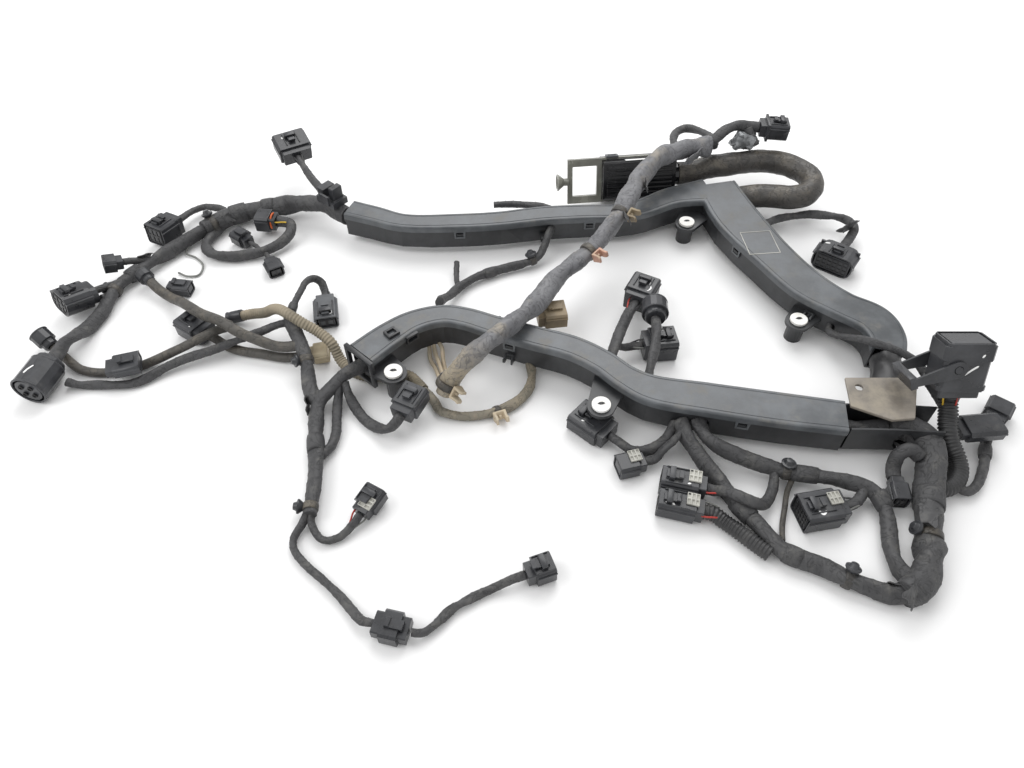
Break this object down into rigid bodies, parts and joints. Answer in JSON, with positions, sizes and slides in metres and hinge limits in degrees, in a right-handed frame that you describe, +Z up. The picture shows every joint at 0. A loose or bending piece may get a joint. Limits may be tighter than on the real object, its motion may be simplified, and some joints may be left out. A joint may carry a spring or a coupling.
{
  "type": "vehicle engine wiring harness",
  "caption": "Engine wiring harness laid flat: taped looms run through snap-lid cable ducts and branch out to sealed plugs, clips and a ribbed control unit plug.",
  "frame": {"origin": "on the floor under the middle of the harness's plan", "axes": "+X to the right along the long way of the harness, +Y away from the viewer, +Z up from the floor"},
  "size_m": [0.9826, 0.6532, 0.1058],
  "materials": {
    "beige_plug": "moulded plug shell, beige",
    "black_conduit": "corrugated conduit, black",
    "bracket": "painted sheet, grey brown",
    "brown_plug": "moulded plug shell, grey brown",
    "clear": "moulded slide, pale green grey",
    "conduit": "corrugated conduit, dusty beige",
    "dusty_tape": "cloth tape under a film of dust",
    "gloss": "moulded housing, glossy black",
    "grey_plug": "moulded plug shell, grey",
    "lid": "moulded dark grey plastic, dusty satin",
    "pin": "moulded fixing pin, off white",
    "plug": "moulded plug shell, satin black",
    "tape": "cloth tape wound over the wires",
    "tray": "moulded black plastic, satin"
  },
  "bodies": {
    "harness": {"arm_pin": "pin", "beige_loom": "conduit", "beige_plug": "beige_plug", "blue_lead": "tape", "boot_plug": "plug", "brown_plug": "brown_plug", "cap_plug": "plug", "clip_tower": "plug", "coil_plug_a": "plug", "coil_plug_b": "plug", "coil_plug_c": "plug", "comb_plug": "plug", "coolant_plug": "plug", "coupler_plug": "plug", "cross_lead": "tape", "cross_sleeve": "black_conduit", "diagonal_loom": "dusty_tape", "ear_plug": "plug", "ecu_loom": "tape", "elbow_plug": "plug", "end_bracket": "bracket", "flat_plug": "plug", "front_duct_lid": "lid", "front_duct_tray": "tray", "front_loom": "tape", "grey_plug": "grey_plug", "grommet_plug": "plug", "hub_pin": "pin", "injector_lead": "tape", "injector_plug_a": "plug", "injector_plug_b": "plug", "left_conduit": "conduit", "left_pin": "pin", "lever_plug_body": "plug", "middle_pin": "pin", "oval_plug": "plug", "paddle_plug": "plug", "rear_duct_lid": "lid", "rear_duct_tray": "tray", "rear_loom": "tape", "relay_plug": "plug", "right_conduit": "black_conduit", "right_loom": "tape", "ring_plug": "plug", "round_plug": "plug", "sealed_plug": "plug", "sensor_plug_a": "plug", "sensor_plug_b": "plug", "small_plug": "plug", "square_plug": "plug", "twin_plug_back": "grey_plug", "twin_plug_front": "plug", "unit_plug_body": "gloss", "upright_plug": "plug", "vent_cap": "plug", "vent_plug": "plug", "wide_loom": "tape", "wide_plug": "plug"},
    "slide": {"unit_plug_slide": "clear"},
    "lever": {"lever_plug_lever": "grey_plug"}
  },
  "joints": [
    {"name": "unit_slide", "type": "slide", "parent": "harness", "child": "slide", "axis": [-0.9936, -0.1132, 0], "range_m": [0, 0.022]},
    {"name": "lever_swing", "type": "hinge", "parent": "harness", "child": "lever", "pos_m": [0.39833, -0.09567, 0.07776], "axis": [0, 0.9162, -0.4008], "range_deg": [0, 60]}
  ]
}
